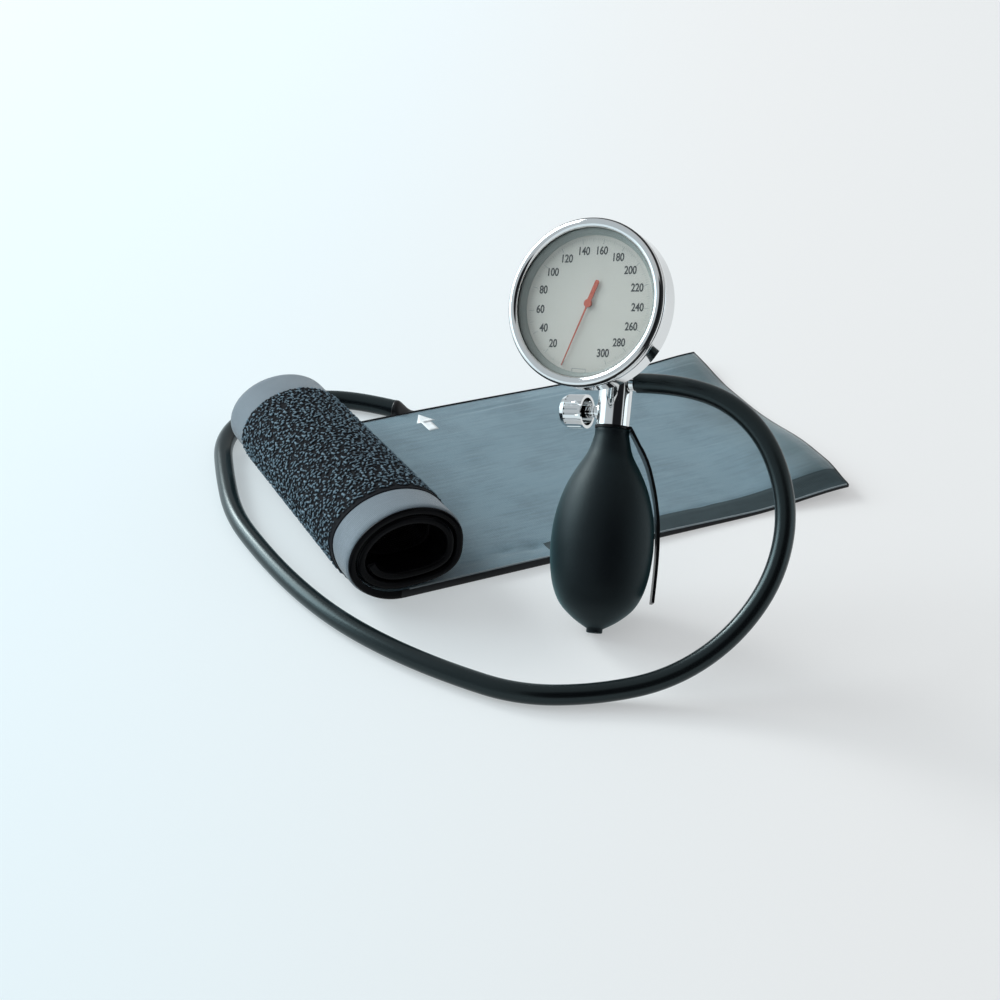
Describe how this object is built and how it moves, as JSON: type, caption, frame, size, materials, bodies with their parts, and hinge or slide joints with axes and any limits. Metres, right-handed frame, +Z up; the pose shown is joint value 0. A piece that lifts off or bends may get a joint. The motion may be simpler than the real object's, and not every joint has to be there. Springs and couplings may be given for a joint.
{
  "type": "aneroid sphygmomanometer",
  "caption": "Palm-type blood-pressure gauge: round aneroid dial on a squeeze bulb with a release valve, a rubber hose and a partly rolled arm cuff.",
  "frame": {"origin": "centre of the flat part of the cuff, on its underside, which lies on the table", "axes": "+Z up; +X along the cuff away from its roll; +Y across the cuff towards the edge the hose enters"},
  "size_m": [0.2754, 0.2863, 0.1582],
  "materials": {
    "cuff_cloth": "fine woven nylon",
    "cuff_lining": "fine woven nylon",
    "bladder_rubber": "smooth sheet",
    "binding_tape": "woven tape",
    "loop_pile": "looped pile",
    "hook_tape": "hook tape",
    "black_rubber": "moulded",
    "bulb_rubber": "matte moulded",
    "hose_rubber": "satin extruded",
    "chrome": "polished chrome plate",
    "satin_steel": "turned",
    "dark_spring_steel": "black painted spring steel",
    "brass": "machined",
    "capsule_bronze": "rolled sheet",
    "hairspring_bronze": "drawn strip",
    "ball_rubber": "ground ball",
    "clear_lens": "clear polished",
    "dial_white": "matte white enamel",
    "dial_wall": "matte grey",
    "pointer_red": "satin red paint",
    "dial_print": "matte print",
    "white_print": "matte print on cloth"
  },
  "bodies": {
    "instrument": {"cuff_outer_cloth": "cuff_cloth", "cuff_inner_cloth": "cuff_lining", "bladder": "bladder_rubber", "edge_binding": "binding_tape", "loop_patch": "loop_pile", "hook_patch": "hook_tape", "tube_port": "black_rubber", "bulb": "bulb_rubber", "valve_body": "chrome", "intake_valve_body": "satin_steel", "intake_valve_cage": "satin_steel", "intake_filter": "satin_steel", "outlet_valve_seat": "brass", "outlet_valve_cage": "brass", "hose_barb": "chrome", "gauge_stem": "chrome", "gauge_case": "chrome", "bezel_ring": "chrome", "lens": "clear_lens", "lens_gasket": "black_rubber", "dial_plate": "dial_white", "dial_wall_ring": "dial_wall", "movement_base_plate": "brass", "movement_top_plate": "brass", "movement_pillars": "brass", "movement_screws": "satin_steel", "movement_posts": "brass", "hairspring": "hairspring_bronze", "diaphragm_capsule": "capsule_bronze", "channel_plate": "brass", "hose": "hose_rubber"},
    "pointer_and_pinion": {"pointer": "pointer_red", "pinion_arbor": "satin_steel"},
    "sector": {"sector_gear": "brass"},
    "capsule_rod": {"push_rod": "satin_steel"},
    "valve_needle": {"needle_pin": "satin_steel"},
    "release_wheel": {"release_knob": "chrome", "release_screw": "satin_steel"},
    "intake_ball": {"intake_valve_ball": "ball_rubber"},
    "outlet_ball": {"outlet_valve_ball": "ball_rubber"},
    "finger_spoon": {"finger_clip": "dark_spring_steel"}
  },
  "joints": [
    {"name": "sector_turn", "type": "hinge", "parent": "instrument", "child": "sector", "pos_m": [-0.04064, -0.07476, 0.10279], "axis": [-0.7565, -0.3756, 0.5354], "range_deg": [0, 35.1], "stiffness_Nm_per_rad": 0.01, "springref_deg": -11.46},
    {"name": "pointer_turn", "type": "hinge", "parent": "instrument", "child": "pointer_and_pinion", "pos_m": [-0.03181, -0.07127, 0.12519], "axis": [0.7565, 0.3756, -0.5354], "range_deg": [0, 316]},
    {"name": "capsule_rod_slide", "type": "slide", "parent": "instrument", "child": "capsule_rod", "axis": [-0.7565, -0.3756, 0.5354], "range_m": [0, 0.0009]},
    {"name": "release_screw_turn", "type": "hinge", "parent": "valve_needle", "child": "release_wheel", "pos_m": [-0.02865, -0.0708, 0.07394], "axis": [0.5717, -0.7774, 0.2623], "range_deg": [-360, 540]},
    {"name": "release_needle_slide", "type": "slide", "parent": "instrument", "child": "valve_needle", "axis": [0.5717, -0.7774, 0.2623], "range_m": [-0.0005, 0.00075]},
    {"name": "intake_ball_lift", "type": "slide", "parent": "instrument", "child": "intake_ball", "axis": [0.3177, 0.5045, 0.8028], "range_m": [0, 0.0012]},
    {"name": "outlet_ball_lift", "type": "slide", "parent": "instrument", "child": "outlet_ball", "axis": [0.3177, 0.5045, 0.8028], "range_m": [0, 0.0015]},
    {"name": "finger_spoon_swivel", "type": "hinge", "parent": "instrument", "child": "finger_spoon", "pos_m": [-0.02392, -0.08351, 0.07171], "axis": [0.3177, 0.5045, 0.8028], "range_deg": [-30, 30]}
  ],
  "couplings": [
    {"joint": "pointer_turn", "follows": "sector_turn", "ratio": 9},
    {"joint": "capsule_rod_slide", "follows": "sector_turn", "m_per_rad": 0.00145},
    {"joint": "release_screw_turn", "follows": "release_needle_slide", "rad_per_m": 12566}
  ]
}
